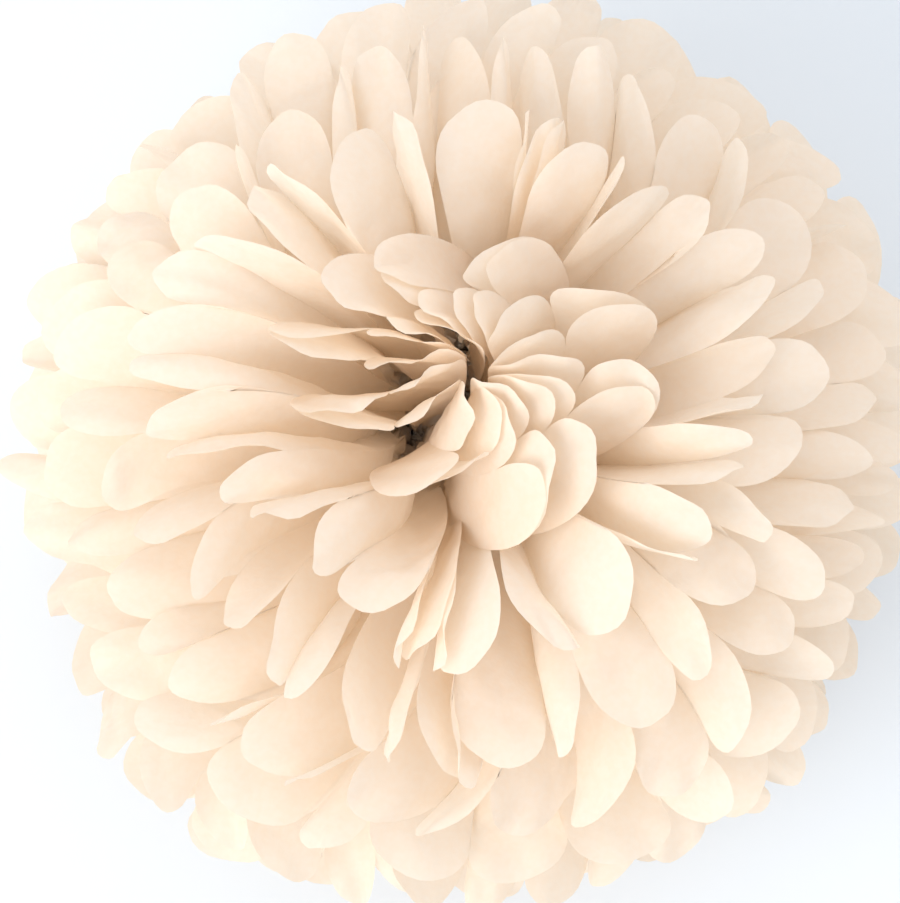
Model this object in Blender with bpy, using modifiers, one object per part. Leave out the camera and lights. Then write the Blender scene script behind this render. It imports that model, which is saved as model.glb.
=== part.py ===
"""Tissue paper pom pom: twelve pleated sheets with petal-cut ends, gathered in one wire tie.

Each sheet is one piece of tissue, folded to and fro across its length, pinched to a narrow neck in
the tie, and opened into two half-round fans, one to +X and one to -X. The fans are pulled apart into
cones, the first sheet nearly straight up and the last nearly straight down, so together they fill a
ball. The ball rests on the table on the petals of its last sheet, which are pressed flat there.

Units are metres, with +Z up. The origin is on the table, under the middle of the ball.
"""

import math

import bpy
import numpy as np

# The paper, as it is cut and folded
SHEETS = 12
PLEATS = 18  # panels between folds, which is also the number of petals on each end
PLEAT_WIDTH = 0.026
STACK_LENGTH = 0.300  # the folded stack, from petal tips to petal tips
SCALLOP_DEPTH = 0.019  # from the notch between two petals to their tips
PAPER = 0.00015

# The necks that the tie holds, narrowest and shortest in the first and last sheet
NECK_WIDTH = 0.010
NECK_LENGTH = 0.005
NECK_GROWTH = 0.0011  # of both, from one sheet to the next one towards the middle
NECK_GAP = 0.0006  # between one sheet and the next

# The tie
WIRE_DIAMETER = 0.0011
WIRE_CLEARANCE = 0.0003
TWIST_HEIGHT = 0.012
TWIST_TURNS = 2.0

# How the sheets are pulled apart
TOP_ELEVATION = math.radians(78)  # of the first sheet, and the last one's below the level
CROWDING = 0.88  # under 1, sheets are closer together near the poles
FAN_ANGLE = math.radians(175)  # that each half of a sheet opens to
ARCH = math.radians(14)  # that petals arch away from the poles, about half-way to the level
ARCH_POWER = 3  # how sharply they arch towards their ends
ARCH_FADE = 0.3  # how much of the arch is lost at the poles
TURN = math.radians(30)  # the most that a sheet is turned about the tie
SLANT = math.radians(9)  # that petal ends lean to one side
SHEAR = 0.3  # that folds are pushed over sideways, against their depth
FALL = 0.5  # the same at the petals' ends near the poles, to one side and the other
WAVE = math.radians(6)  # that all the sheets rise and fall together, twice in each half
WAVE_PHASE = 0.9
FOLD_SHARE = 0.58  # of the angle between two sheets that a sheet's folds may fill
DRIFT_SHARE = 0.33  # of the same angle that a sheet may wander
CURL = 0.009  # that a petal's end bends out of its plane
INNER_ROWS = (0.18, 0.53)  # of the half length, where the panels are flat
NESTED_BULGE = 0.002  # of panels that lie close together, all to the same side
SMALLEST_RUN = 0.002  # along the rim, between neighbouring folds
WANDER = 0.005  # that each of a few slow waves moves petals by, the same in all the sheets
WANDER_LENGTH = 0.15  # of such a wave
WANDER_WAVES = 5
SEED = 41
WANDER_SEED = 5

# The table under it
TABLE_DROP = 0.134  # from the tie down to the table
PRESS = 0.014  # petals this near the table, above or below it, are bent along it
LIFT = 2 * PAPER  # over the table, of what is bent along it
LEVEL_BELOW = 0.004  # ends of the last sheet's petals that stay under this lie on the table
LEVEL_AREA = 35e-6  # of such an end, seen from below, at least

HALF_LENGTH = STACK_LENGTH / 2
NOTCH = HALF_LENGTH - SCALLOP_DEPTH
NECK_STEP = PAPER + NECK_GAP
NECK_POINTS = PLEATS // 2 + 1
SHOULDER = 0.24  # of a petal's width, where the corner of its end is
SHOULDER_DEPTH = 0.9  # of the scallop, that the end has reached there


def smooth(low, high, value):
    """A smooth step from 0 at low to 1 at high."""
    t = np.clip((value - low) / (high - low), 0.0, 1.0)
    return t * t * (3 - 2 * t)


def wander(rng, count):
    """A smooth curve through count places, between -1 and 1."""
    along = np.linspace(0, 2 * math.pi, count)
    phase = rng.uniform(0, 2 * math.pi, 2)
    return 0.6 * np.sin(along + phase[0]) + 0.4 * np.sin(3 * along + phase[1])


def bend(share):
    """The share of its arch that a petal has at this share of its length."""
    return np.clip((share - 0.5) / 0.5, 0, 1.05) ** ARCH_POWER


def arched(polar):
    """The angle that a petal's tip arches by, from its angle to the upper pole."""
    return ARCH * np.abs(np.sin(polar)) ** ARCH_FADE * np.cos(polar)


def sheet_polar(number):
    """A sheet's angle from the upper pole."""
    place = 1 - 2 * number / (SHEETS - 1)
    return math.pi / 2 - TOP_ELEVATION * math.copysign(abs(place) ** CROWDING, place)


def sheet_room(number):
    """Half the angle from a sheet to the nearer of its neighbours."""
    others = [sheet_polar(n) for n in (number - 1, number + 1) if 0 <= n < SHEETS]
    return min(abs(sheet_polar(number) - other) for other in others) / 2


def wandered(points):
    """Points moved by slow random waves, the same for all the sheets, most at the petals' ends."""
    rng = np.random.default_rng(WANDER_SEED)
    ways = rng.normal(size=(WANDER_WAVES, 3))
    ways /= np.linalg.norm(ways, axis=1)[:, None]
    lengths = WANDER_LENGTH * rng.uniform(0.8, 1.5, WANDER_WAVES)
    phases = rng.uniform(0, 2 * math.pi, WANDER_WAVES)
    pushes = np.cross(ways, rng.normal(size=(WANDER_WAVES, 3)))
    pushes *= WANDER / np.linalg.norm(pushes, axis=1)[:, None]
    share = smooth(0.15, 1.0, np.linalg.norm(points, axis=1) / HALF_LENGTH)
    waves = np.sin(2 * math.pi * (points @ ways.T) / lengths + phases)
    return points + share[:, None] * (waves @ pushes)


class Neck:
    """The part of a sheet that the tie holds: half its length, half its width and its height."""

    def __init__(self, number):
        from_outside = min(number, SHEETS - 1 - number)
        self.reach = (NECK_LENGTH + NECK_GROWTH * from_outside) / 2
        self.half_width = (NECK_WIDTH + NECK_GROWTH * from_outside) / 2
        self.z = ((SHEETS - 1) / 2 - number) * NECK_STEP


class Lean:
    """How a whole sheet is turned about the tie, and how its petals' ends lean to one side."""

    def __init__(self, rng, polar, number):
        self.turn = TURN * math.sin(2.3 * number + 0.6)
        self.both = rng.uniform(-0.7, 0.7)
        self.phase = rng.uniform(0, 2 * math.pi)
        self.shear_both = rng.choice([-1.0, 1.0]) * rng.uniform(0.5, 1.0)
        self.shear_phase = rng.uniform(0, 2 * math.pi)
        self.ring = math.sin(polar + arched(polar))
        self.fall_phase = 2.1 * number + 0.4
        self.fall_most = FALL * math.cos(polar) ** 2 * min(1.0, 3 * self.ring)

    def slant(self, azimuth):
        return SLANT * (self.both + np.sin(2 * azimuth + self.phase))

    def shear(self, azimuth):
        return SHEAR * (self.shear_both + 0.6 * np.sin(2 * azimuth + self.shear_phase))

    def fall(self, azimuth):
        return self.fall_most * np.sin(2 * azimuth + self.fall_phase)


class Fan:
    """One half of a sheet: where its folds run, and how each panel between them is bent."""

    def __init__(self, rng, number, polar, neck, lean):
        self.polar = polar
        self.limit = sheet_room(number) * FOLD_SHARE
        self.neck = neck
        self.lean = lean
        self.side = np.where(np.arange(PLEATS + 1) % 2 == 0, -1.0, 1.0)
        self.drift = sheet_room(number) * DRIFT_SHARE * wander(rng, PLEATS + 1)
        if number in (0, SHEETS - 1):
            # The first and last sheets have little room to wander round the poles
            self.drift = 0.3 * self.drift
        even = np.linspace(-FAN_ANGLE / 2, FAN_ANGLE / 2, PLEATS + 1)
        depth = np.where(rng.random(PLEATS + 1) < 0.3, 0.1, rng.uniform(0.7, 1.0, PLEATS + 1))
        laid = 1 - 0.08 * np.abs(lean.fall(even + lean.turn))
        chord = PLEAT_WIDTH * rng.uniform(0.88, 0.97, PLEATS) * (laid[1:] + laid[:-1]) / 2
        self.cup = rng.choice([-1.0, 1.0], PLEATS, p=[0.3, 0.7])
        self.curl = CURL * rng.uniform(-1.0, 0.6, PLEATS)
        shear = lean.shear(even + lean.turn) + lean.fall(even + lean.turn)
        self.longer = np.sqrt(1 + (shear[1:] ** 2 + shear[:-1] ** 2) / 2)
        low, high = 0.0, 4.0
        for _ in range(40):
            middle = (low + high) / 2
            if self.steps(middle * depth, chord).sum() > FAN_ANGLE:
                low = middle
            else:
                high = middle
        self.fold = self.limit * np.clip(high * depth, 0, 1)
        steps = self.steps(high * depth, chord)
        steps *= FAN_ANGLE / steps.sum()
        self.azimuth = np.concatenate([[0], np.cumsum(steps)]) - FAN_ANGLE / 2
        rise = NOTCH * np.abs(np.diff(self.drift + self.side * self.fold)) * self.longer
        self.shut = smooth(0.6, 0.92, rise / chord)
        self.free = lean.ring * (1 - self.shut)

    def steps(self, depth, chord):
        """The angle that each panel takes up round the rim, when its folds are this deep."""
        lift = self.drift + self.side * self.limit * np.clip(depth, 0, 1)
        rise = NOTCH * np.diff(lift) * self.longer
        run = np.sqrt(np.maximum(chord**2 - rise**2, SMALLEST_RUN**2))
        bent = bend(NOTCH / HALF_LENGTH) * arched(self.polar)
        return run / (NOTCH * np.sin(self.polar + bent + (lift[1:] + lift[:-1]) / 2))

    def crease(self, rho):
        """Points on all the folds at rho from the neck, as an array of PLEATS + 1 rows."""
        share = min(rho / NOTCH, 1.0)
        fold = self.fold + (self.limit - self.fold) * (1 - share**2)
        polar = self.polar + self.drift * smooth(0.1, 0.5, share) + self.side * fold
        end = np.clip((rho / HALF_LENGTH - 0.5) / 0.5, 0, 1.05) ** 2
        opened = smooth(0.2, 0.6, share)
        even = np.linspace(-FAN_ANGLE / 2, FAN_ANGLE / 2, PLEATS + 1)
        azimuth = even + (self.azimuth - even) * opened + self.lean.turn * opened
        pushed = self.lean.shear(azimuth) * opened + self.lean.fall(azimuth) * smooth(0.3, 1.0, share)
        azimuth = azimuth + pushed * self.side * fold / self.lean.ring
        azimuth = azimuth + end * self.lean.slant(azimuth)
        polar = polar + bend(rho / HALF_LENGTH) * arched(polar)
        wave = np.sin(4 * azimuth + WAVE_PHASE) * np.sin(polar) ** 2
        polar = polar + WAVE * smooth(0.1, 0.7, share) * wave
        across = np.linspace(-self.neck.half_width, self.neck.half_width, PLEATS + 1)
        return np.stack(
            [
                self.neck.reach + rho * np.sin(polar) * np.cos(azimuth),
                across + rho * np.sin(polar) * np.sin(azimuth),
                self.neck.z + rho * np.cos(polar),
            ],
            axis=1,
        )

    def point(self, rho, across):
        """One point on every panel, at rho from the neck and a share across of its width."""
        step = HALF_LENGTH / 100
        here = self.crease(rho)
        ahead = self.crease(rho + step)
        width = here[1:] - here[:-1]
        along = (ahead[1:] + ahead[:-1] - here[1:] - here[:-1]) / 2
        normal = np.cross(along, width)
        normal /= np.linalg.norm(normal, axis=1)[:, None]
        chord = np.minimum(np.linalg.norm(width, axis=1), PLEAT_WIDTH)
        slack = chord * np.sqrt(3 / 8 * (PLEAT_WIDTH / chord - 1))
        bulge = np.minimum(slack, chord * 0.22) * smooth(0.5, 0.85, rho / HALF_LENGTH)
        end = smooth(0.6, 1.2, rho / HALF_LENGTH)
        bulge = bulge * self.cup * self.free + NESTED_BULGE * self.lean.ring * self.side[:-1] * self.shut
        out = bulge * 4 * across * (1 - across)
        out = out + end * self.curl * self.free
        return here[:-1] + width * across + normal * out[:, None]


def pressed(points):
    """Points moved so that all of them are on or over the table, from points about the tie.

    What would reach below the table is raised, and turned outward by as much.
    """
    height = points[:, 2] + TABLE_DROP
    share = np.clip((height + PRESS) / (2 * PRESS), 0.02, 1.0)
    raised = np.where(height > PRESS, height, np.maximum(PRESS * share**2, LIFT))
    outward = PRESS * (np.arccos(share) - share * np.sqrt(1 - share**2))
    radius = np.maximum(np.linalg.norm(points[:, :2], axis=1), 1e-6)
    flat = points[:, :2] * (1 + outward / radius)[:, None]
    return np.column_stack([flat, raised])


def half_sheet(fan):
    """Vertices and faces of one fan, with the neck row first."""
    neck_y = np.linspace(-fan.neck.half_width, fan.neck.half_width, NECK_POINTS)
    neck = np.column_stack(
        [np.full(NECK_POINTS, fan.neck.reach), neck_y, np.full(NECK_POINTS, fan.neck.z)]
    )
    shoulder = NOTCH + SCALLOP_DEPTH * SHOULDER_DEPTH
    rows = [
        neck,
        fan.crease(INNER_ROWS[0] * HALF_LENGTH),
        fan.crease(INNER_ROWS[1] * HALF_LENGTH),
        fan.crease(NOTCH),
        fan.point(NOTCH, 0.5),
        fan.point(shoulder, SHOULDER),
        fan.point(shoulder, 1 - SHOULDER),
    ]
    starts = np.concatenate([[0], np.cumsum([len(row) for row in rows])[:-1]])
    neck_at, inner, outer, notch, middle, first, last = (int(s) for s in starts)
    faces = []
    for j in range(PLEATS):
        base = neck_at + (j + 1) // 2
        faces.append((base, inner + j + 1, inner + j))
        if j % 2 == 0:
            faces.append((base, base + 1, inner + j + 1))
        faces += [
            (inner + j, inner + j + 1, outer + j),
            (outer + j, inner + j + 1, outer + j + 1),
            (outer + j, middle + j, notch + j),
            (outer + j, outer + j + 1, middle + j),
            (outer + j + 1, notch + j + 1, middle + j),
            (notch + j, middle + j, first + j),
            (middle + j, last + j, first + j),
            (middle + j, notch + j + 1, last + j),
        ]
    return np.concatenate(rows), faces


def lay_level(points, count):
    """Set down on the table the petal ends that nearly lie on it already, no two side by side."""
    first = count - 3 * PLEATS
    for start in (first, first + count):
        free = True
        for j in range(PLEATS):
            end = [start + j, start + PLEATS + j, start + 2 * PLEATS + j]
            middle, left, right = points[end, :2]
            facing_down = np.cross(right - left, middle - left) / 2
            lies = points[end, 2].max() < LEVEL_BELOW and facing_down > LEVEL_AREA
            if lies and free:
                points[end, 2] = 0.0
            free = not (lies and free)


def make_sheet(number, material, collection):
    """One whole sheet: two fans and the neck between them, with the paper's thickness."""
    rng = np.random.default_rng(SEED + number)
    polar = sheet_polar(number)
    neck = Neck(number)
    lean = Lean(rng, polar, number)
    plus, faces = half_sheet(Fan(rng, number, polar, neck, lean))
    minus, more = half_sheet(Fan(rng, number, polar, neck, lean))
    minus = minus * np.array([-1.0, -1.0, 1.0])
    count = len(plus)
    faces += [tuple(v + count for v in face) for face in more]
    for i in range(NECK_POINTS - 1):
        faces.append((i + 1, i, count + NECK_POINTS - 1 - i, count + NECK_POINTS - 2 - i))
    points = pressed(wandered(np.concatenate([plus, minus])))
    if number == SHEETS - 1:
        lay_level(points, count)
    name = f"sheet_{number + 1:02d}"
    mesh = bpy.data.meshes.new(name)
    mesh.from_pydata(points.tolist(), [], faces)
    mesh.materials.append(material)
    sheet = bpy.data.objects.new(name, mesh)
    collection.objects.link(sheet)
    solidify = sheet.modifiers.new("paper", "SOLIDIFY")
    solidify.thickness = PAPER
    solidify.offset = -1.0
    return sheet


def make_tie(material, collection):
    """The wire: once round the necks, then both ends twisted together and cut off."""
    radius = WIRE_DIAMETER / 2
    reach = WIRE_CLEARANCE + radius
    top = Neck(0)
    half_height = top.z + PAPER / 2 + reach
    strand = radius + WIRE_CLEARANCE / 2
    turn_points = 4
    count = int(TWIST_TURNS * turn_points)
    twist = []
    for i in range(count, -1, -1):
        angle = 2 * math.pi * i / turn_points
        z = half_height + 2 * radius + TWIST_HEIGHT * i / count
        twist.append((strand * math.sin(angle), strand * math.cos(angle), z))
    # Down one side of the stack of necks, round each corner in three points
    corner = 0.75 * reach
    side = [(top.half_width, half_height), (top.half_width + corner, top.z + corner)]
    for number in (0, (SHEETS - 1) // 2, SHEETS // 2, SHEETS - 1):
        neck = Neck(number)
        side.append((neck.half_width + reach, neck.z))
    side += [(top.half_width + corner, -top.z - corner), (top.half_width, -half_height)]
    loop = [(0.0, y, z) for y, z in side]
    loop += [(0.0, -y, z) for y, z in reversed(side)]
    back = [(-x, -y, z) for x, y, z in reversed(twist)]
    curve = bpy.data.curves.new("wire_tie", "CURVE")
    curve.dimensions = "3D"
    curve.bevel_depth = radius
    curve.bevel_resolution = 1
    curve.use_fill_caps = True
    path = twist + loop + back
    spline = curve.splines.new("POLY")
    spline.points.add(len(path) - 1)
    for point, place in zip(spline.points, path):
        point.co = (*place, 1.0)
    curve.materials.append(material)
    tie = bpy.data.objects.new("wire_tie", curve)
    tie.location = (0, 0, TABLE_DROP)
    collection.objects.link(tie)
    return tie


def make_material(name, colour, roughness, metallic):
    material = bpy.data.materials.new(name)
    material.use_nodes = True
    shader = material.node_tree.nodes["Principled BSDF"]
    shader.inputs["Base Color"].default_value = (*colour, 1)
    shader.inputs["Roughness"].default_value = roughness
    shader.inputs["Metallic"].default_value = metallic
    return material


def main():
    for obj in list(bpy.data.objects):
        bpy.data.objects.remove(obj)
    collection = bpy.data.collections.new("tissue_pom_pom")
    bpy.context.scene.collection.children.link(collection)
    tissue = make_material("tissue", (0.93, 0.83, 0.71), 0.85, 0.0)
    wire = make_material("wire", (0.62, 0.62, 0.60), 0.4, 1.0)
    sheets = [make_sheet(number, tissue, collection) for number in range(SHEETS)]
    tie = make_tie(wire, collection)
    # The ball isn't quite even, so its middle is found from its sheets.
    corners = np.array([v.co[:] for sheet in sheets for v in sheet.data.vertices])
    middle = (corners.max(axis=0) + corners.min(axis=0)) / 2
    for obj in [*sheets, tie]:
        obj.location.x -= middle[0]
        obj.location.y -= middle[1]


main()
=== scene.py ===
"""A cream tissue paper pom pom lying on a pale table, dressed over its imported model.

The twelve sheets of the model are replaced by finely curved ones that follow the same folds. Each sheet
is a numpy surface: panels between folds, cupped and curled, with round petal ends. The wire tie of the
model stays and gets its finish.
"""

import logging
import math
from dataclasses import dataclass
from enum import Enum
from typing import Any, Sequence

import bpy
import numpy as np
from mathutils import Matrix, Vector

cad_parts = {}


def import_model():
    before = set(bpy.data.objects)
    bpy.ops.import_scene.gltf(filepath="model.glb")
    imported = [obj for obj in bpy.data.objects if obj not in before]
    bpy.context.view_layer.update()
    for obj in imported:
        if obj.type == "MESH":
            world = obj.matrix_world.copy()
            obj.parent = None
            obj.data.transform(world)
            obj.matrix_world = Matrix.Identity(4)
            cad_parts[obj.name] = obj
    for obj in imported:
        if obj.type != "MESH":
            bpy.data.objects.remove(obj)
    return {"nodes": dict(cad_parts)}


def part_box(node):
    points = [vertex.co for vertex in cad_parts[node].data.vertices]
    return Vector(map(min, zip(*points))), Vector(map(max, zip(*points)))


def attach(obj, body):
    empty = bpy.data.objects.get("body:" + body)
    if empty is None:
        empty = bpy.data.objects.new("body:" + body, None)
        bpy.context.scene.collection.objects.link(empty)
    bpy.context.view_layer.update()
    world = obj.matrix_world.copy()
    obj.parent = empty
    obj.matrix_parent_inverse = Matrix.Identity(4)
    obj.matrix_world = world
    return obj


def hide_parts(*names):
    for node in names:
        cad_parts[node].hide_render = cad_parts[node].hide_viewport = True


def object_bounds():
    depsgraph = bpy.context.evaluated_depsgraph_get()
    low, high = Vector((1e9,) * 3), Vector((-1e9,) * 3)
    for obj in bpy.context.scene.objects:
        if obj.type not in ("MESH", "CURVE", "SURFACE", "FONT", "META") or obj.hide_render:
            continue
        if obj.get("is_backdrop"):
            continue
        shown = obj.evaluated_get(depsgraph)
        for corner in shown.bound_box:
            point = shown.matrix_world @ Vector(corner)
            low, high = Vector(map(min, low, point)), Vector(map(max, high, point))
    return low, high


LOG = logging.getLogger("pom_pom")
Array = np.ndarray


class Side(Enum):
    """The two halves of a sheet, by the side of the tie that each is opened to."""

    PLUS = 1.0
    MINUS = -1.0


@dataclass(frozen=True)
class PaperSize:
    """The sheets as they are cut and folded, in metres.

    Args:
        sheets: how many sheets are tied together.
        pleats: panels between folds, which is the number of petals on each end.
        pleat_width: from one fold to the next.
        stack_length: the folded stack from tips to tips.
        scallop_depth: from the notch between two petals to their tips.
    """

    sheets: int = 12
    pleats: int = 18
    pleat_width: float = 0.026
    stack_length: float = 0.300
    scallop_depth: float = 0.019

    @property
    def half_length(self) -> float:
        """From the middle of the stack to the petal tips."""
        return self.stack_length / 2

    @property
    def notch(self) -> float:
        """From the middle of the stack to the notches between petals."""
        return self.half_length - self.scallop_depth

    @property
    def flat_size(self) -> tuple[float, float]:
        """Width and length of one sheet before it is folded."""
        return (self.stack_length, self.pleats * self.pleat_width)

    @property
    def flat_area(self) -> float:
        """Area of one sheet once both ends are cut round."""
        width, length = self.flat_size
        corner = 1 - math.pi / 4
        return width * length - 2 * self.pleats * self.scallop_depth * self.pleat_width * corner


@dataclass(frozen=True)
class NeckSize:
    """The necks in the tie, narrowest and shortest in the first and last sheet, in metres.

    Args:
        width: across the neck of the first and the last sheet.
        length: of the same necks, through the tie.
        growth: of both, from one sheet to the next one towards the middle.
        step: height from one sheet's neck to the next one's.
    """

    width: float = 0.010
    length: float = 0.005
    growth: float = 0.0011
    step: float = 0.00075


@dataclass(frozen=True)
class Unevenness:
    """How unevenly hands fold and pull the sheets. All are shares where nothing else is said.

    Args:
        turn_waves: radians from one sheet to the next of the sine that turns them, and its start.
        fall_waves: the same of the sine by which their petals are laid over.
        leaning: most of the slant that all of one sheet's petals share.
        pushing: least and most of the shear that all of one sheet's folds share.
        flat_folds: folds that stay nearly flat.
        flat_depth: how deep those are.
        depth: least and most depth of the others.
        chord: least and most width of a panel from fold to fold, of the pleat's.
        laid_loss: of that width, lost where petals are laid over.
        cupped_down: petals that are cupped downward.
        curl: least and most of the curl.
        shutting: steepness of a panel from which its petal begins to shut, and where it has.
    """

    turn_waves: tuple[float, float] = (2.3, 0.6)
    fall_waves: tuple[float, float] = (2.1, 0.4)
    leaning: float = 0.7
    pushing: tuple[float, float] = (0.5, 1.0)
    flat_folds: float = 0.3
    flat_depth: float = 0.1
    depth: tuple[float, float] = (0.7, 1.0)
    chord: tuple[float, float] = (0.88, 0.97)
    laid_loss: float = 0.08
    cupped_down: float = 0.3
    curl: tuple[float, float] = (-1.0, 0.6)
    shutting: tuple[float, float] = (0.6, 0.92)


@dataclass(frozen=True)
class Spread:
    """How the sheets are pulled apart. Angles are in radians and lengths in metres.

    Args:
        top: elevation of the first sheet, and of the last one below the level.
        crowding: under 1, sheets are closer together near the poles.
        fan: angle that each half of a sheet opens to.
        arch: angle that petals arch away from the poles by, about half-way to the level.
        arch_power: how sharply they arch towards their ends.
        arch_fade: how much of the arch is lost at the poles.
        fall: share that petals near the poles are laid over by at their ends.
        turn: most that a sheet is turned about the tie.
        slant: angle that petal ends lean to one side by.
        shear: share of their depth that folds are pushed over sideways by.
        wave: angle that all the sheets rise and fall by together.
        wave_phase: where that wave starts.
        fold_share: share of the angle between two sheets that the folds may fill.
        drift_share: share of the same angle that a sheet may wander by.
        curl: length that a petal's end bends out of its plane by.
        nested_bulge: bulge of panels that lie close together.
        smallest_run: along the rim, between neighbouring folds.
        pole_depth: times deeper that the first and last sheets are folded, next to the poles.
        next_depth: the same of the sheets next to them.
        pole_drift: share of their wandering that the first and last sheets keep.
        pole_reach: angle that those two reach in to the poles by.
        crown: the first sheet's petal ends' angle from the pole.
        crown_reach: angle that they part by, to both sides of that.
        crown_change: angle that they differ by besides.
        crown_start: share of a petal's length where they begin to part.
        crown_end: share of it where they have parted.
        lap: share that each half opens further by at its petals, to lap over the seam.
        swirl: length round the pole that the first sheet's petal ends are laid over by.
        swirl_core: distance from the pole inside which that turns no faster.
        swirl_loss: share of their length that they lose by it.
        seed: of the whole arrangement.
        uneven: how unevenly it is done.
    """

    top: float = math.radians(78)
    crowding: float = 0.88
    fan: float = math.radians(175)
    arch: float = math.radians(14)
    arch_power: int = 3
    arch_fade: float = 0.3
    fall: float = 0.5
    turn: float = math.radians(30)
    slant: float = math.radians(9)
    shear: float = 0.3
    wave: float = math.radians(6)
    wave_phase: float = 0.9
    fold_share: float = 0.58
    drift_share: float = 0.33
    curl: float = 0.009
    nested_bulge: float = 0.002
    smallest_run: float = 0.002
    pole_depth: float = 1.6
    next_depth: float = 1.18
    pole_drift: float = 0.3
    pole_reach: float = math.radians(2.2)
    crown: float = math.radians(11.7)
    crown_reach: float = math.radians(10.5)
    crown_change: float = math.radians(1.2)
    crown_start: float = 0.15
    crown_end: float = 0.62
    lap: float = 0.05
    swirl: float = 0.034
    swirl_core: float = 0.016
    swirl_loss: float = 0.07
    seed: int = 41
    uneven: Unevenness = Unevenness()

    def polar(self, number: int, sheets: int) -> float:
        """A sheet's angle from the upper pole. Sheets are closer together near the poles."""
        place = 1 - 2 * number / (sheets - 1)
        return math.pi / 2 - self.top * math.copysign(abs(place) ** self.crowding, place)

    def room(self, number: int, sheets: int) -> float:
        """The smaller angle from a sheet to its neighbours."""
        own = self.polar(number, sheets)
        others = [self.polar(n, sheets) for n in (number - 1, number + 1) if 0 <= n < sheets]
        return min(abs(own - other) for other in others)

    def bend(self, share: Array | float) -> Array | float:
        """Share of its arch that a petal has at this share of its length."""
        return np.clip((share - 0.5) / 0.5, 0, 1.05) ** self.arch_power


@dataclass(frozen=True)
class TableSize:
    """The table under the ball.

    Args:
        drop: from the tie down to it.
        press: how near it petals bend along it.
    """

    drop: float = 0.134
    press: float = 0.014


@dataclass(frozen=True)
class Crumple:
    """How tissue near the tie crumples.

    Args:
        length: of the smaller crumples, in metres.
        longer: times longer that the second ones are.
        height: of a crumple near the level, as a share of its length.
        pole_height: of one near the poles, where the sheets have less room.
        start: distances from the tie between which the crumples begin, in metres.
        fade: shares of a petal's length between which they fade out.
    """

    length: float = 0.008
    longer: float = 1.618
    height: float = 0.325
    pole_height: float = 0.42
    start: tuple[float, float] = (0.004, 0.02)
    fade: tuple[float, float] = (0.27, 0.51)


class Field:
    """A slow random field that all the sheets are moved by, as hands leave them."""

    def __init__(
        self, seed: int = 5, count: int = 5, length: float = 0.15, height: float = 0.005
    ) -> None:
        """Args: seed, how many waves, their usual length, and how far each moves a petal's end."""
        rng = np.random.default_rng(seed)
        ways = rng.normal(size=(count, 3))
        ways /= np.linalg.norm(ways, axis=1)[:, None]
        lengths = length * rng.uniform(0.8, 1.5, count)
        self.waves = ways * (2 * math.pi / lengths)[:, None]
        self.phases = rng.uniform(0, 2 * math.pi, count)
        pushes = np.cross(ways, rng.normal(size=(count, 3)))
        self.pushes = pushes / np.linalg.norm(pushes, axis=1)[:, None] * height


@dataclass(frozen=True)
class Grid:
    """How finely a panel is drawn.

    Args:
        across: columns between two folds.
        inner: rows from the neck to where the petals part.
        outer: rows from there to the petal's edge.
        parting: where that is, as a share of the notch's distance.
    """

    across: int = 16
    inner: int = 40
    outer: int = 24
    parting: float = 0.72


def smooth(low: float, high: float, value: Array | float) -> Array:
    """A smooth step.

    Args:
        low: value where the step starts.
        high: value where it ends.
        value: where to read it.

    Returns:
        0 up to low, 1 from high on, and a smooth curve between.
    """
    t = np.clip((np.asarray(value, dtype=float) - low) / (high - low), 0.0, 1.0)
    return t * t * (3 - 2 * t)


def wander(rng: np.random.Generator, count: int) -> Array:
    """A smooth curve between -1 and 1.

    Args:
        rng: source of its phases.
        count: how many places along it.

    Returns:
        The curve's value at each place.
    """
    along = np.linspace(0, 2 * math.pi, count)
    phase = rng.uniform(0, 2 * math.pi, 2)
    return 0.6 * np.sin(along + phase[0]) + 0.4 * np.sin(3 * along + phase[1])


def arched(spread: Spread, polar: Array | float) -> Array:
    """Angle that a petal's tip arches outward by, from its angle to the upper pole."""
    return spread.arch * np.abs(np.sin(polar)) ** spread.arch_fade * np.cos(polar)


class Neck:
    """The part of one sheet that the tie holds."""

    def __init__(self, size: NeckSize, number: int, sheets: int) -> None:
        """Args: size of the necks, the sheet's number from the top, and how many sheets there are."""
        from_outside = min(number, sheets - 1 - number)
        self.reach = (size.length + size.growth * from_outside) / 2
        self.half_width = (size.width + size.growth * from_outside) / 2
        self.z = ((sheets - 1) / 2 - number) * size.step


class Lean:
    """How a whole sheet is turned about the tie, and how its petals' ends lean to one side."""

    def __init__(self, rng: np.random.Generator, polar: float, number: int, spread: Spread) -> None:
        """Args: random source, the sheet's angle from the pole, its number, and the spread."""
        uneven = spread.uneven
        self.turn = spread.turn * math.sin(uneven.turn_waves[0] * number + uneven.turn_waves[1])
        self.both = rng.uniform(-uneven.leaning, uneven.leaning)
        self.phase = rng.uniform(0, 2 * math.pi)
        self.shear_both = rng.choice([-1.0, 1.0]) * rng.uniform(*uneven.pushing)
        self.shear_phase = rng.uniform(0, 2 * math.pi)
        self.ring = math.sin(polar + arched(spread, polar))
        self.fall_phase = uneven.fall_waves[0] * number + uneven.fall_waves[1]
        self.fall_most = spread.fall * math.cos(polar) ** 2 * min(1.0, 3 * self.ring)
        self.most = spread.slant
        self.shear_most = spread.shear

    def slant(self, azimuth: Array) -> Array:
        """Angle that petal ends at these azimuths are carried round the tie by."""
        return self.most * (self.both + np.sin(2 * azimuth + self.phase))

    def shear(self, azimuth: Array) -> Array:
        """Share of its depth that a fold at these azimuths is pushed over sideways by."""
        return self.shear_most * (self.shear_both + 0.6 * np.sin(2 * azimuth + self.shear_phase))

    def fall(self, azimuth: Array) -> Array:
        """The further share that petals are laid over by at their ends, to one side or the other."""
        return self.fall_most * np.sin(2 * azimuth + self.fall_phase)


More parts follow.
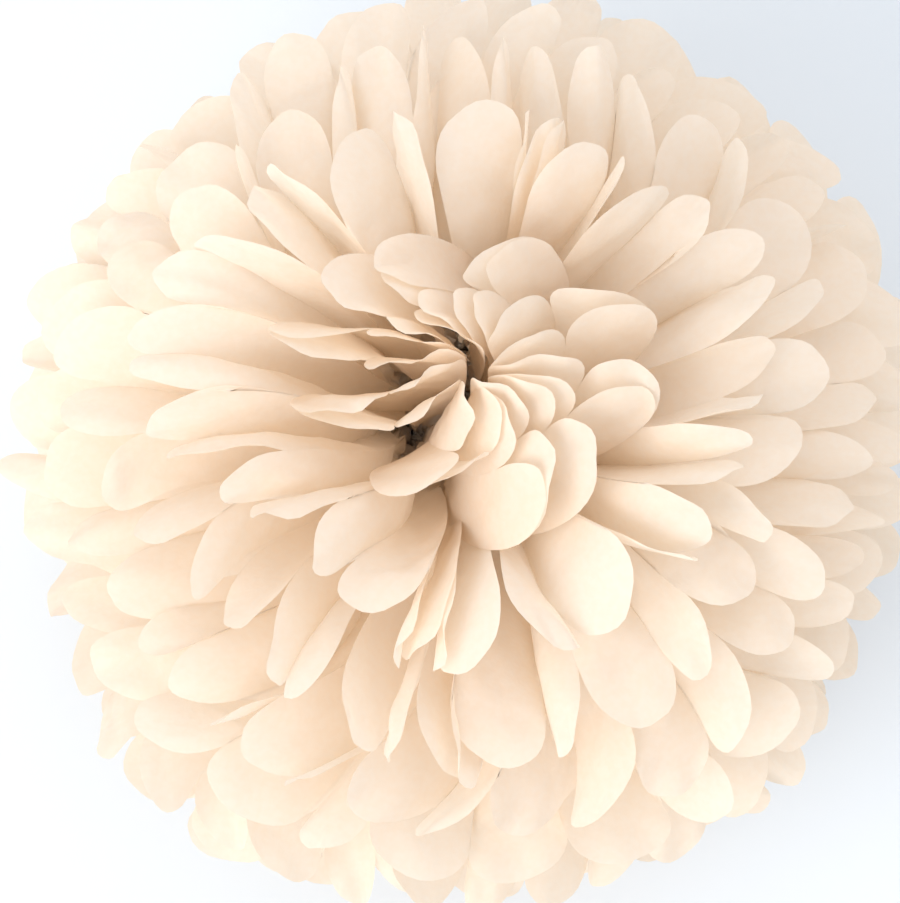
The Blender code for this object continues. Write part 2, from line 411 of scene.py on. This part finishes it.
class Fan:
    """One half of a sheet: where its folds run, and how each panel between them is bent."""

    def __init__(
        self,
        rng: np.random.Generator,
        number: int,
        polar: float,
        neck: Neck,
        lean: Lean,
        spread: Spread,
        paper: PaperSize,
    ) -> None:
        """Finds how deep the folds are so that the paper's width just fills the fan's angle.

        Args:
            rng: source of the differences between petals.
            number: the sheet's number from the top.
            polar: angle of the sheet from the upper pole.
            neck: the sheet's neck.
            lean: how the sheet is turned and slanted.
            spread: how the sheets are pulled apart.
            paper: the sheets' sizes.
        """
        self.polar, self.neck, self.lean = polar, neck, lean
        half_step = spread.room(number, paper.sheets) / 2
        self.spread, self.paper = spread, paper
        pleats, width, uneven = paper.pleats, paper.pleat_width, spread.uneven
        self.limit = half_step * spread.fold_share
        if number in (0, paper.sheets - 1):
            self.limit *= spread.pole_depth
        elif number in (1, paper.sheets - 2):
            self.limit *= spread.next_depth
        self.side = np.where(np.arange(pleats + 1) % 2 == 0, -1.0, 1.0)
        self.drift = half_step * spread.drift_share * wander(rng, pleats + 1)
        if number in (0, paper.sheets - 1):
            # The first and last sheets reach in to the poles, which they have to themselves.
            inward = -1.0 if number == 0 else 1.0
            self.drift = spread.pole_drift * self.drift + inward * spread.pole_reach
        self.even = np.linspace(-spread.fan / 2, spread.fan / 2, pleats + 1)
        flat = rng.random(pleats + 1) < uneven.flat_folds
        depth = np.where(flat, uneven.flat_depth, rng.uniform(*uneven.depth, pleats + 1))
        laid = 1 - uneven.laid_loss * np.abs(lean.fall(self.even + lean.turn))
        chord = width * rng.uniform(*uneven.chord, pleats) * (laid[1:] + laid[:-1]) / 2
        self.cup = rng.choice([-1.0, 1.0], pleats, p=[uneven.cupped_down, 1 - uneven.cupped_down])
        self.curl = spread.curl * rng.uniform(*uneven.curl, pleats)
        shear = lean.shear(self.even + lean.turn) + lean.fall(self.even + lean.turn)
        self.longer = np.sqrt(1 + (shear[1:] ** 2 + shear[:-1] ** 2) / 2)
        low, high = 0.0, 4.0
        for _ in range(40):
            middle = (low + high) / 2
            if self._steps(middle * depth, chord).sum() > spread.fan:
                low = middle
            else:
                high = middle
        self.fold = self.limit * np.clip(high * depth, 0, 1)
        steps = self._steps(high * depth, chord)
        steps *= spread.fan / steps.sum()
        self.azimuth = np.concatenate([[0], np.cumsum(steps)]) - spread.fan / 2
        rise = paper.notch * np.abs(np.diff(self.drift + self.side * self.fold)) * self.longer
        self.shut = smooth(*uneven.shutting, rise / chord)
        self.free = lean.ring * (1 - self.shut)
        # The first sheet's folds part into an inner and an outer ring of petal ends round the pole.
        self.ends = None
        if number == 0:
            place = np.arange(pleats + 1)
            self.ends = spread.crown + spread.crown_reach * np.cos(place * math.pi / 2)
            self.ends = self.ends + spread.crown_change * np.sin(5.1 * place)
            self.azimuth = self.even

    def _steps(self, depth: Array, chord: Array) -> Array:
        """The angle that each panel takes up round the rim, when its folds are this deep."""
        lift = self.drift + self.side * self.limit * np.clip(depth, 0, 1)
        rise = self.paper.notch * np.diff(lift) * self.longer
        run = np.sqrt(np.maximum(chord**2 - rise**2, self.spread.smallest_run**2))
        notch_share = self.paper.notch / self.paper.half_length
        bent = self.spread.bend(notch_share) * arched(self.spread, self.polar)
        return run / (self.paper.notch * np.sin(self.polar + bent + (lift[1:] + lift[:-1]) / 2))

    def crease(self, rho: Array) -> Array:
        """Points on all the folds.

        Args:
            rho: distances from the neck, in an array of any shape.

        Returns:
            An array of that shape, with one more axis for the folds and one for x, y and z.
        """
        rho = np.asarray(rho, dtype=float)[..., None]
        half, spread = self.paper.half_length, self.spread
        share = np.minimum(rho / self.paper.notch, 1.0)
        fold = self.fold + (self.limit - self.fold) * (1 - share**2)
        polar = self.polar + self.drift * smooth(0.1, 0.5, share) + self.side * fold
        end = np.clip((rho / half - 0.5) / 0.5, 0, 1.05) ** 2
        opened = smooth(0.2, 0.6, share)
        azimuth = self.even + (self.azimuth - self.even) * opened + self.lean.turn * opened
        azimuth = azimuth * (1 + spread.lap * smooth(0.5, 0.9, share))
        pushed = self.lean.shear(azimuth) * opened + self.lean.fall(azimuth) * smooth(0.3, 1.0, share)
        azimuth = azimuth + pushed * self.side * fold / self.lean.ring
        azimuth = azimuth + end * self.lean.slant(azimuth)
        polar = polar + spread.bend(rho / half) * arched(spread, polar)
        if self.ends is not None:
            polar = polar + (self.ends - polar) * smooth(spread.crown_start, spread.crown_end, share)
            aside = spread.swirl / (self.paper.notch * np.sin(polar) + spread.swirl_core)
            azimuth = azimuth + aside * end
            rho = rho * (1 - spread.swirl_loss * end)
        wave = np.sin(4 * azimuth + spread.wave_phase) * np.sin(polar) ** 2
        polar = polar + spread.wave * smooth(0.1, 0.7, share) * wave
        across = np.linspace(-self.neck.half_width, self.neck.half_width, self.paper.pleats + 1)
        return np.stack(
            [
                self.neck.reach + rho * np.sin(polar) * np.cos(azimuth),
                across + rho * np.sin(polar) * np.sin(azimuth),
                self.neck.z + rho * np.cos(polar),
            ],
            axis=-1,
        )


@dataclass(frozen=True)
class PetalForm:
    """How single petals differ and ripple, in metres where nothing else is said.

    Args:
        twist: share of their width that they turn by about their own length.
        ruffle: least and most height of the ripples.
        ripples: lengths of the two ripples.
        longer: most that a petal is longer or shorter.
        dent: height of the dents at the free end.
        facet: height of the slight corners that scissors leave.
        facets: how many such corners there are round half an end, about.
        roundness: under 1, the ends are squarer than half an ellipse.
        trimmed: taken off the scallop's depth, to leave room for the other differences.
        start: distance from the neck where the panels begin.
        row_power: above 1, rows are closer together near the neck.
        most_bulge: of a panel, as a share of its width.
    """

    twist: float = 0.5
    ruffle: tuple[float, float] = (0.0002, 0.0007)
    ripples: tuple[float, float] = (0.021, 0.034)
    longer: float = 0.0015
    dent: float = 0.0012
    facet: float = 0.0005
    facets: float = 3.5
    roundness: float = 0.85
    trimmed: float = 0.0015
    start: float = 0.0012
    row_power: float = 1.3
    most_bulge: float = 0.3


class Petals:
    """The free differences between the petals of one fan, which only the dressed sheets have."""

    def __init__(self, rng: np.random.Generator, fan: Fan) -> None:
        """Args: random source, and the fan that the petals are on."""
        count, self.form = fan.paper.pleats, PetalForm()
        self.twist = self.form.twist * rng.uniform(-1, 1, count) * (1 - fan.shut)
        self.ruffle = rng.uniform(*self.form.ruffle, count)
        self.phase = rng.uniform(0, 2 * math.pi, (4, count))
        self.length = rng.uniform(-self.form.longer, self.form.longer, count)
        self.facets = rng.uniform(0, 1, count)
        self.dent = self.form.dent * rng.uniform(-1, 1, (3, count))[0]


class PleatedSheet:
    """One tissue sheet: two fans and the neck between them, drawn as one surface."""

    def __init__(
        self,
        number: int,
        paper: PaperSize,
        necks: NeckSize,
        spread: Spread,
        table: TableSize,
        grid: Grid,
    ) -> None:
        """Args: the sheet's number from the top, and the sizes it is made from."""
        self.number, self.paper, self.table, self.grid = number, paper, table, grid
        self.crumple, self.field = Crumple(), Field()
        rng = np.random.default_rng(spread.seed + number)
        polar = spread.polar(number, paper.sheets)
        neck = Neck(necks, number, paper.sheets)
        lean = Lean(rng, polar, number, spread)
        self.fans = {side: Fan(rng, number, polar, neck, lean, spread, paper) for side in Side}
        finer = np.random.default_rng(spread.seed * 100 + number)
        self.petals = {side: Petals(finer, self.fans[side]) for side in Side}
        self.neck = neck

    @property
    def name(self) -> str:
        """The name of the model's node that this sheet stands for."""
        return f"sheet_{self.number + 1:02d}"

    def _rho(self, petals: Petals) -> tuple[Array, Array]:
        """Distances from the neck over one panel's grid.

        The rows run level up to the parting. From there they bend up to the petal's edge, which is
        the notch's distance plus the scallop's depth times the sine of the angle across the panel.

        Returns:
            The share across of each column, and the distances by row, column and panel.
        """
        form = petals.form
        angle = np.linspace(0, math.pi, self.grid.across + 1)
        across = (1 - np.cos(angle)) / 2
        parting = self.paper.notch * self.grid.parting
        # The edge is a round end with the slight corners that scissors leave.
        corners = np.abs(np.sin(angle[:, None] * form.facets + petals.facets * math.pi))
        round_end = np.sin(angle)[:, None] ** form.roundness
        depth = self.paper.scallop_depth - form.trimmed + petals.length
        edge = self.paper.notch + (depth + form.facet * corners) * round_end
        inner = np.linspace(0, 1, self.grid.inner + 1) ** form.row_power
        low = form.start + (parting - form.start) * inner
        outer = np.linspace(0, 1, self.grid.outer + 1)[1:, None, None]
        high = parting + (edge - parting)[None] * outer
        low = np.broadcast_to(low[:, None, None], (len(low),) + edge.shape)
        return across, np.concatenate([low, high])

    def _panels(self, fan: Fan, petals: Petals) -> Array:
        """Points of every panel of one fan, by row, column, panel and x, y, z.

        A point is on the straight line between the two folds beside it, moved along the panel's
        normal by a bulge that is a parabola across the panel, a curl, a twist, two ripples and dents.
        """
        (across, rho), form = self._rho(petals), petals.form
        half, width = self.paper.half_length, self.paper.pleat_width
        count = self.paper.pleats
        index = np.arange(count)
        step = half / 100
        # Each panel reads the two folds beside it at its own distances.
        here = fan.crease(rho)
        ahead = fan.crease(rho + step)
        left, right = here[:, :, index, index], here[:, :, index, index + 1]
        left_on, right_on = ahead[:, :, index, index], ahead[:, :, index, index + 1]
        chord_line = right - left
        along = (left_on + right_on - left - right) / 2
        normal = np.cross(along, chord_line)
        normal /= np.linalg.norm(normal, axis=-1)[..., None]
        chord = np.minimum(np.linalg.norm(chord_line, axis=-1), width)
        share = rho / half
        slack = chord * np.sqrt(3 / 8 * (width / chord - 1))
        bulge = np.minimum(slack, chord * form.most_bulge) * smooth(0.35, 0.8, share)
        nested = fan.spread.nested_bulge * fan.lean.ring * fan.side[:-1] * fan.shut
        bulge = bulge * fan.cup * fan.free + nested * smooth(0.2, 0.5, share)
        s = across[None, :, None]
        out = bulge * 4 * s * (1 - s)
        end = smooth(0.6, 1.2, share)
        out = out + end * fan.curl * fan.free
        # A petal's free end may turn about its own length.
        out = out + petals.twist * (s - 0.5) * width * smooth(0.7, 1.05, share) ** 2
        # Soft dents and ripples, weak at the folds and strong at the free end.
        phase, turns = petals.phase, [2 * math.pi * rho / length for length in form.ripples]
        ripple = np.sin(turns[0] + phase[0]) * np.sin(3 * math.pi * s + phase[1])
        ripple = ripple + 0.7 * np.sin(turns[1] + 5 * s + phase[2])
        out = out + petals.ruffle * ripple * np.sin(math.pi * s) ** 0.5 * smooth(0.3, 0.9, share)
        out = out + smooth(0.86, 1.0, share) * petals.dent * np.sin(4 * math.pi * s + phase[3])
        return left + chord_line * s[..., None] + normal * out[..., None]

    def _crumpled(self, points: Array) -> Array:
        """Points moved as the tissue near the tie crumples, where there is no room for its width.

        Each coordinate in turn is moved by waves of the other two, fading out towards the petals, so
        neighbouring layers move together and never through each other.
        """
        moved = points.copy()
        crumple = self.crumple
        radius = np.maximum(np.linalg.norm(points, axis=1), 1e-6)
        steep = (points[:, 2] / radius) ** 2
        height = crumple.height + (crumple.pole_height - crumple.height) * smooth(0.3, 0.8, steep)
        for step, (moving, first, second) in enumerate(((0, 1, 2), (1, 2, 0), (2, 0, 1)) * 2):
            radius = np.linalg.norm(moved, axis=1)
            fade = 1 - smooth(*crumple.fade, radius / self.paper.half_length)
            fade = smooth(*crumple.start, radius) * fade
            length = crumple.length * (1.0 if step < 3 else crumple.longer)
            turn = 2 * math.pi / length
            wave = np.sin(turn * moved[:, first] + 1.7 * step)
            wave = wave * np.cos(turn * 0.8 * moved[:, second] + step)
            moved[:, moving] += height * length * fade * wave
        return moved

    def _wandered(self, points: Array) -> Array:
        """Points moved by a slow random field, the same for all the sheets, most at the petals' ends."""
        field = self.field
        radius = np.linalg.norm(points, axis=1) / self.paper.half_length
        share = smooth(0.15, 1.0, radius)[:, None]
        total = np.zeros_like(points)
        for wave, phase, push in zip(field.waves, field.phases, field.pushes):
            total += np.sin(points @ wave + phase)[:, None] * push
        return points + share * total

    def _pressed(self, points: Array) -> Array:
        """Points raised to lie on or over the table and turned outward by as much."""
        press = self.table.press
        height = points[:, 2] + self.table.drop
        share = np.clip((height + press) / (2 * press), 0.02, 1.0)
        raised = np.where(height > press, height, press * share**2)
        outward = press * (np.arccos(share) - share * np.sqrt(1 - share**2))
        radius = np.maximum(np.linalg.norm(points[:, :2], axis=1), 1e-6)
        flat = points[:, :2] * (1 + outward / radius)[:, None]
        return np.column_stack([flat, raised])

    def surface(self) -> tuple[Array, Array, Array]:
        """The whole sheet about the tie.

        Panels share the points of the folds between them, so a fan is one grid of rows by
        pleats * across + 1 columns. The neck joins the first rows of both fans.

        Returns:
            Points, four-cornered faces as rows of point numbers, and for each point its place on
            the flat sheet as shares of its width and length.
        """
        columns = self.paper.pleats * self.grid.across + 1
        blocks, flats = [], []
        for side in Side:
            panels = self._panels(self.fans[side], self.petals[side])
            rows = panels.shape[0]
            body = panels[:, :-1].transpose(0, 2, 1, 3).reshape(rows, columns - 1, 3)
            grid = np.concatenate([body, panels[:, -1, -1][:, None]], axis=1)
            grid = grid * np.array([side.value, side.value, 1.0])
            blocks.append(grid)
            u = np.linspace(0, 1, columns)[None, :].repeat(rows, axis=0)
            v = 0.5 + side.value * np.linspace(0.0, 0.5, rows)[:, None].repeat(columns, axis=1)
            flats.append(np.stack([u, v], axis=-1))
        rows = blocks[0].shape[0]
        # The other half runs the other way round the tie, so its columns are turned about.
        blocks[1], flats[1] = blocks[1][:, ::-1], flats[1][:, ::-1]
        whole = np.concatenate([blocks[1][::-1], blocks[0]], axis=0)
        flat = np.concatenate([flats[1][::-1], flats[0]], axis=0)
        number = np.arange(whole.shape[0] * columns).reshape(whole.shape[0], columns)
        faces = np.stack(
            [number[:-1, :-1], number[1:, :-1], number[1:, 1:], number[:-1, 1:]], axis=-1
        ).reshape(-1, 4)
        points = self._pressed(self._wandered(self._crumpled(whole.reshape(-1, 3))))
        return points, faces, flat.reshape(-1, 2)

    def build(self, tie: Vector) -> bpy.types.Object:
        """Makes the mesh.

        Args:
            tie: where the wire's axis stands, in the model's frame.

        Returns:
            The sheet's object, at the origin.
        """
        points, faces, flat = self.surface()
        points = points + np.array([tie.x, tie.y, 0.0])
        mesh = bpy.data.meshes.new(self.name + "_tissue")
        mesh.vertices.add(len(points))
        mesh.vertices.foreach_set("co", points.astype(np.float32).ravel())
        mesh.loops.add(faces.size)
        mesh.loops.foreach_set("vertex_index", faces.astype(np.int32).ravel())
        mesh.polygons.add(len(faces))
        mesh.polygons.foreach_set("loop_start", np.arange(0, faces.size, 4, dtype=np.int32))
        mesh.polygons.foreach_set("use_smooth", np.ones(len(faces), dtype=bool))
        mesh.update(calc_edges=True)
        layer = mesh.uv_layers.new(name="flat")
        layer.data.foreach_set("uv", flat[faces.ravel()].astype(np.float32).ravel())
        self._sharpen(mesh)
        mesh.validate()
        obj = bpy.data.objects.new(self.name + "_tissue", mesh)
        bpy.context.scene.collection.objects.link(obj)
        return obj

    def _sharpen(self, mesh: bpy.types.Mesh) -> None:
        """Marks the folds as sharp, which are every across-th line of points along the sheet."""
        columns = self.paper.pleats * self.grid.across + 1
        ends = np.empty(len(mesh.edges) * 2, dtype=np.int32)
        mesh.edges.foreach_get("vertices", ends)
        column = ends.reshape(-1, 2) % columns
        same = (column[:, 0] == column[:, 1]) & (column[:, 0] % self.grid.across == 0)
        attribute = mesh.attributes.new("sharp_edge", "BOOLEAN", "EDGE")
        attribute.data.foreach_set("value", same)

    def dress(self, obj: bpy.types.Object, material: bpy.types.Material) -> None:
        """Gives the sheet its finish and puts it in its node's place."""
        obj.data.materials.append(material)
        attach(obj, "root")
        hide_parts(self.name)


class Value:
    """A node socket or number that shader sums are written with."""

    def __init__(self, nodes: "NodeBook", source: Any) -> None:
        """Args: the node tree's helper, and a socket, number or colour."""
        self.nodes, self.source = nodes, source

    def _math(self, operation: str, *others: Any) -> "Value":
        return self.nodes.add("ShaderNodeMath", {"operation": operation}, [self, *others])

    def __add__(self, other: Any) -> "Value":
        return self._math("ADD", other)

    def __radd__(self, other: Any) -> "Value":
        return self._math("ADD", other)

    def __mul__(self, other: Any) -> "Value":
        return self._math("MULTIPLY", other)


class NodeBook:
    """Writes the nodes of one material."""

    def __init__(self, material: bpy.types.Material) -> None:
        """Args: the material, whose own nodes are removed first."""
        material.use_nodes = True
        self.tree = material.node_tree
        self.tree.nodes.clear()

    def add(
        self,
        kind: str,
        settings: dict[str, Any],
        inputs: Sequence[Any] | dict[str, Any],
        output: int | str = 0,
    ) -> Value:
        """Adds one node.

        Args:
            kind: the node's type.
            settings: its own properties.
            inputs: what goes into its sockets, by place or by name.
            output: the socket to hand back.

        Returns:
            The chosen output.
        """
        node = self.tree.nodes.new(kind)
        for key, value in settings.items():
            setattr(node, key, value)
        pairs = inputs.items() if isinstance(inputs, dict) else enumerate(inputs)
        for key, value in pairs:
            source = value.source if isinstance(value, Value) else value
            if source is None:
                continue
            if isinstance(source, bpy.types.NodeSocket):
                self.tree.links.new(source, node.inputs[key])
            else:
                node.inputs[key].default_value = source
        return Value(self, node.outputs[output])

    def ramp(self, low: float, high: float, value: Value) -> Value:
        """A share from 0 at low to 1 at high."""
        settings = {"clamp": True}
        inputs = {"Value": value, "From Min": low, "From Max": high}
        return self.add("ShaderNodeMapRange", settings, inputs)

    def blend(self, share: Value, first: Sequence[float], second: Sequence[float]) -> Value:
        """A colour between two colours."""
        node = self.tree.nodes.new("ShaderNodeMix")
        node.data_type = "RGBA"
        for key, value in (("Factor", share), ("A", first), ("B", second)):
            socket = next(s for s in node.inputs if s.name == key and s.enabled)
            source = value.source if isinstance(value, Value) else value
            if isinstance(source, bpy.types.NodeSocket):
                self.tree.links.new(source, socket)
            else:
                socket.default_value = source
        return Value(self, next(s for s in node.outputs if s.enabled))

    def finish(self, shader: Value) -> None:
        """Joins the last shader to the material's output."""
        node = self.tree.nodes.new("ShaderNodeOutputMaterial")
        self.tree.links.new(shader.source, node.inputs["Surface"])


@dataclass(frozen=True)
class TissueFinish:
    """Cream tissue: thin, matte, soft fibres, and light that shines through it.

    Args:
        name: the material's.
        colour: of the darker fibres.
        paler: of the paler fibres.
        through: of light that has come through.
        roughness: of its faces.
        see_through: share of the light that comes through.
    """

    name: str = "cream_tissue"
    colour: tuple[float, float, float, float] = (0.975, 0.88, 0.77, 1.0)
    paler: tuple[float, float, float, float] = (0.98, 0.91, 0.82, 1.0)
    through: tuple[float, float, float, float] = (0.995, 0.865, 0.71, 1.0)
    roughness: float = 0.85
    see_through: float = 0.45

    def make(self) -> bpy.types.Material:
        """Returns: the material."""
        material = bpy.data.materials.new(self.name)
        book = NodeBook(material)
        place = book.add("ShaderNodeTexCoord", {}, [], "Object")
        fibre = book.add("ShaderNodeTexNoise", {}, {"Vector": place, "Scale": 420.0, "Detail": 1.0})
        bump = book.add(
            "ShaderNodeBump", {}, {"Strength": 0.35, "Distance": 0.0003, "Height": fibre}
        )
        mottle = book.ramp(0.35, 0.65, fibre)
        colour = book.blend(mottle, self.colour, self.paler)
        face = book.add(
            "ShaderNodeBsdfPrincipled",
            {},
            {
                "Base Color": colour,
                "Roughness": self.roughness,
                "Specular IOR Level": 0.0,
                "Normal": bump,
            },
        )
        back = book.add("ShaderNodeBsdfTranslucent", {}, {"Color": self.through, "Normal": bump})
        both = book.add("ShaderNodeMixShader", {}, [self.see_through, face, back])
        book.finish(both)
        return material


@dataclass(frozen=True)
class WireFinish:
    """Thin drawn steel wire with a dull shine.

    Args:
        name: the material's.
        colour: of the steel.
    """

    name: str = "tie_wire"
    colour: tuple[float, float, float, float] = (0.62, 0.62, 0.60, 1.0)

    def make(self) -> bpy.types.Material:
        """Returns: the material."""
        material = bpy.data.materials.new(self.name)
        book = NodeBook(material)
        place = book.add("ShaderNodeTexCoord", {}, [], "Object")
        grain = book.add("ShaderNodeTexNoise", {}, {"Vector": place, "Scale": 900.0, "Detail": 3.0})
        rough = 0.3 + grain * 0.25
        bump = book.add("ShaderNodeBump", {}, {"Strength": 0.2, "Distance": 0.0001, "Height": grain})
        shader = book.add(
            "ShaderNodeBsdfPrincipled",
            {},
            {"Base Color": self.colour, "Metallic": 1.0, "Roughness": rough, "Normal": bump},
        )
        book.finish(shader)
        return material


@dataclass(frozen=True)
class TableFinish:
    """A plain pale table with the faintest unevenness.

    Args:
        name: the material's.
        colour: of the table.
    """

    name: str = "pale_table"
    colour: tuple[float, float, float, float] = (0.80, 0.84, 0.88, 1.0)

    def make(self) -> bpy.types.Material:
        """Returns: the material."""
        material = bpy.data.materials.new(self.name)
        book = NodeBook(material)
        place = book.add("ShaderNodeTexCoord", {}, [], "Object")
        grain = book.add("ShaderNodeTexNoise", {}, {"Vector": place, "Scale": 3.0, "Detail": 2.0})
        rough = 0.75 + grain * 0.1
        shader = book.add(
            "ShaderNodeBsdfPrincipled", {}, {"Base Color": self.colour, "Roughness": rough}
        )
        book.finish(shader)
        return material


@dataclass(frozen=True)
class View:
    """The photograph's view: nearly straight down on the ball.

    Args:
        azimuth: direction to the camera from the ball, in radians from +X.
        elevation: angle of the camera over the level, in radians.
        distance: from the ball's middle.
        frame: the picture's width and height in pixels.
        centre: where the ball's middle is in the picture.
        radius: of the ball in the picture.
    """

    azimuth: float = math.radians(-90)
    elevation: float = math.radians(78)
    distance: float = 1.0
    frame: tuple[int, int] = (900, 903)
    centre: tuple[float, float] = (470.0, 437.0)
    radius: float = 468.0


@dataclass(frozen=True)
class Lamp:
    """A soft square lamp that faces the ball.

    Args:
        name: the lamp's.
        place: from the middle of the ball, in metres.
        size: of a side, in metres.
        power: in watts.
        colour: of its light.
    """

    name: str
    place: tuple[float, float, float]
    size: float
    power: float
    colour: tuple[float, float, float]


WINDOW = Lamp("window", (-0.9, -0.8, 0.9), 1.1, 14.0, (1.0, 0.98, 0.95))
FILL = Lamp("fill", (0.5, 0.7, 1.2), 1.4, 5.0, (0.95, 0.97, 1.0))


class Studio:
    """The camera, the lamps, the world and the table."""

    def __init__(self, view: View, ball_radius: float, middle: Vector) -> None:
        """Args: the view, the ball's radius and its middle."""
        self.view, self.ball_radius, self.middle = view, ball_radius, middle

    def camera(self) -> None:
        """Sets the camera so that the ball fills the frame as in the photograph."""
        view = self.view
        a, e = view.azimuth, view.elevation
        away = Vector((math.cos(e) * math.cos(a), math.cos(e) * math.sin(a), math.sin(e)))
        data = bpy.data.cameras.new("camera")
        camera = bpy.data.objects.new("camera", data)
        bpy.context.scene.collection.objects.link(camera)
        camera.location = self.middle + away * view.distance
        camera.rotation_euler = (-away).to_track_quat("-Z", "Y").to_euler()
        # The picture radius of a ball is the focal length times the tangent of its half angle.
        half_angle = math.asin(self.ball_radius / view.distance)
        focal = view.radius / math.tan(half_angle)
        data.sensor_fit = "HORIZONTAL"
        data.sensor_width = 36.0
        data.lens = focal / view.frame[0] * 36.0
        data.shift_x = -(view.centre[0] - view.frame[0] / 2) / view.frame[0]
        data.shift_y = (view.centre[1] - view.frame[1] / 2) / view.frame[0]
        data.clip_start = 0.01
        bpy.context.scene.camera = camera

    def lamp(self, lamp: Lamp) -> None:
        """Adds one lamp, turned to the ball."""
        data = bpy.data.lights.new(lamp.name, "AREA")
        data.shape = "SQUARE"
        data.size = lamp.size
        data.energy = lamp.power
        data.color = lamp.colour
        obj = bpy.data.objects.new(lamp.name, data)
        obj.location = self.middle + Vector(lamp.place)
        obj.rotation_euler = (-Vector(lamp.place)).to_track_quat("-Z", "Y").to_euler()
        bpy.context.scene.collection.objects.link(obj)

    def light(self) -> None:
        """Soft light from the lower left of the picture, with a pale surround."""
        self.lamp(WINDOW)
        self.lamp(FILL)
        world = bpy.data.worlds.new("surround")
        world.use_nodes = True
        background = world.node_tree.nodes["Background"]
        background.inputs["Color"].default_value = (0.93, 0.96, 1.0, 1.0)
        background.inputs["Strength"].default_value = 0.9
        bpy.context.scene.world = world

    def table(self, material: bpy.types.Material) -> None:
        """Adds the table, a wide sheet just under the ball."""
        mesh = bpy.data.meshes.new("table")
        half = 3.0
        corners = [(-half, -half, 0.0), (half, -half, 0.0), (half, half, 0.0), (-half, half, 0.0)]
        mesh.from_pydata(corners, [], [(0, 1, 2, 3)])
        mesh.materials.append(material)
        table = bpy.data.objects.new("table", mesh)
        table.location.z = -0.0002
        bpy.context.scene.collection.objects.link(table)
        table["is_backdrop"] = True


class PomPom:
    """The whole ball."""

    def __init__(self) -> None:
        """Sets the sizes that the sheets are made from."""
        self.paper, self.necks, self.spread = PaperSize(), NeckSize(), Spread()
        self.table, self.grid = TableSize(), Grid()

    def build(self, nodes: dict[str, bpy.types.Object]) -> None:
        """Makes and dresses the sheets and the tie.

        Args:
            nodes: the model's nodes by name.
        """
        low, high = (Vector(corner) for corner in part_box("wire_tie"))
        tie = (low + high) / 2
        tissue = TissueFinish().make()
        for number in range(self.paper.sheets):
            sheet = PleatedSheet(number, self.paper, self.necks, self.spread, self.table, self.grid)
            obj = sheet.build(tie)
            sheet.dress(obj, tissue)
            LOG.info("%s: %d faces", obj.name, len(obj.data.polygons))
        wire = nodes["wire_tie"]
        wire.data.materials.clear()
        wire.data.materials.append(WireFinish().make())
        LOG.info("wire_tie: kept from the model")


def main() -> None:
    """Loads the model, dresses it and sets the scene."""
    logging.basicConfig(level=logging.INFO, format="%(name)s %(message)s")
    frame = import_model()
    cad_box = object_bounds()
    bpy.context.scene.view_settings.view_transform = "Standard"
    PomPom().build(frame["nodes"])
    low, high = (Vector(corner) for corner in cad_box)
    middle = (low + high) / 2
    studio = Studio(View(), (high.x - low.x + high.y - low.y) / 4, middle)
    studio.camera()
    studio.light()
    studio.table(TableFinish().make())


if __name__ == "__main__":
    main()
